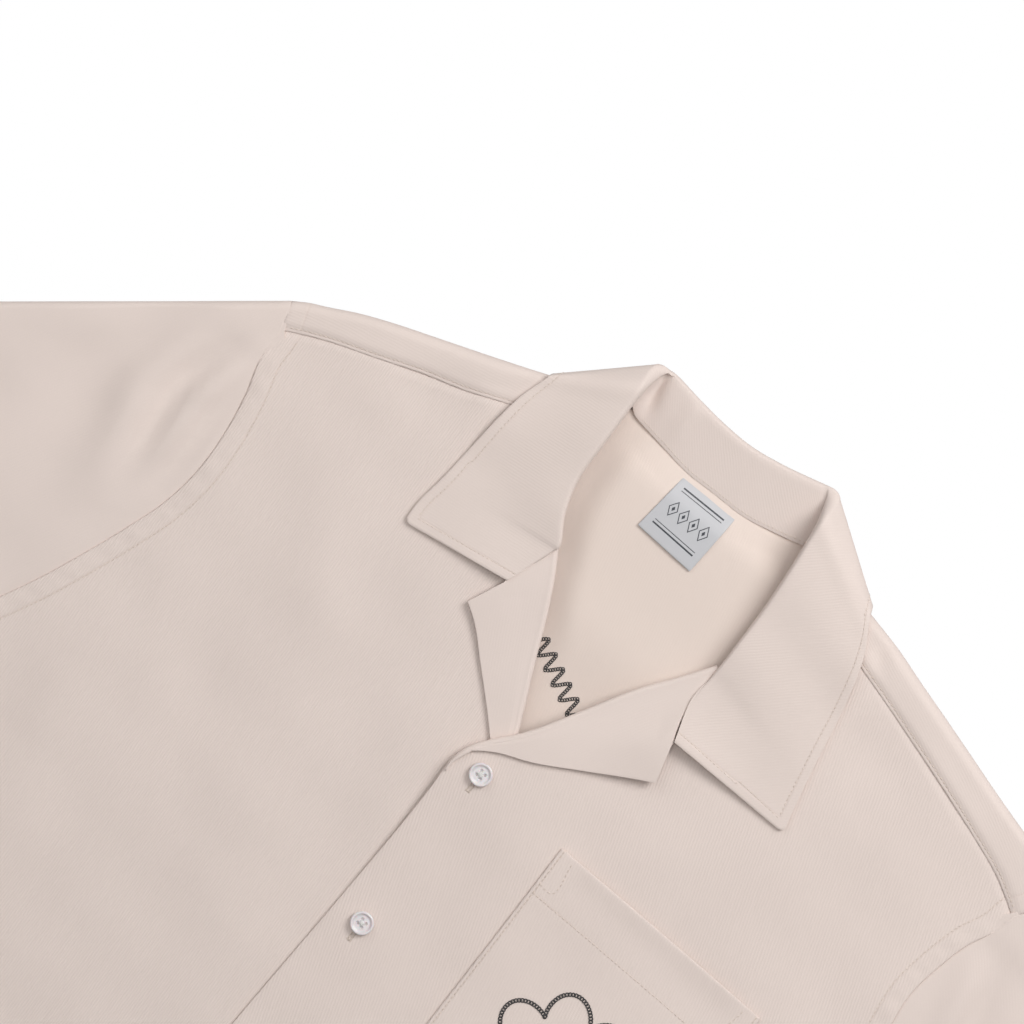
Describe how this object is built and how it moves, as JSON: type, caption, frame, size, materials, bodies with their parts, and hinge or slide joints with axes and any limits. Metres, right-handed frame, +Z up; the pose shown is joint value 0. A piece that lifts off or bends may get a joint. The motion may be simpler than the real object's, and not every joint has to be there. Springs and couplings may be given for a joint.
{
  "type": "short-sleeved button-up shirt",
  "caption": "A men's short-sleeved cream twill shirt with an open notched collar and one chest pocket, laid flat on its back and buttoned.",
  "frame": {"origin": "on the ground under the back panel's flat underside, on the centre line, 300 mm below the back neck seam", "axes": "+X towards the wearer's left sleeve, +Y towards the collar, +Z up out of the front"},
  "size_m": [0.8356, 0.7369, 0.0221],
  "materials": {
    "twill": "matt",
    "label": "satin",
    "button": "gloss"
  },
  "bodies": {
    "root": {"back": "twill", "front_left": "twill", "front_right": "twill", "sleeve_left": "twill", "sleeve_right": "twill", "collar": "twill", "facing_left": "twill", "facing_right": "twill", "pocket": "twill", "label": "label", "button_1": "button", "button_2": "button", "button_3": "button", "button_4": "button", "button_5": "button", "button_6": "button"}
  },
  "joints": []
}
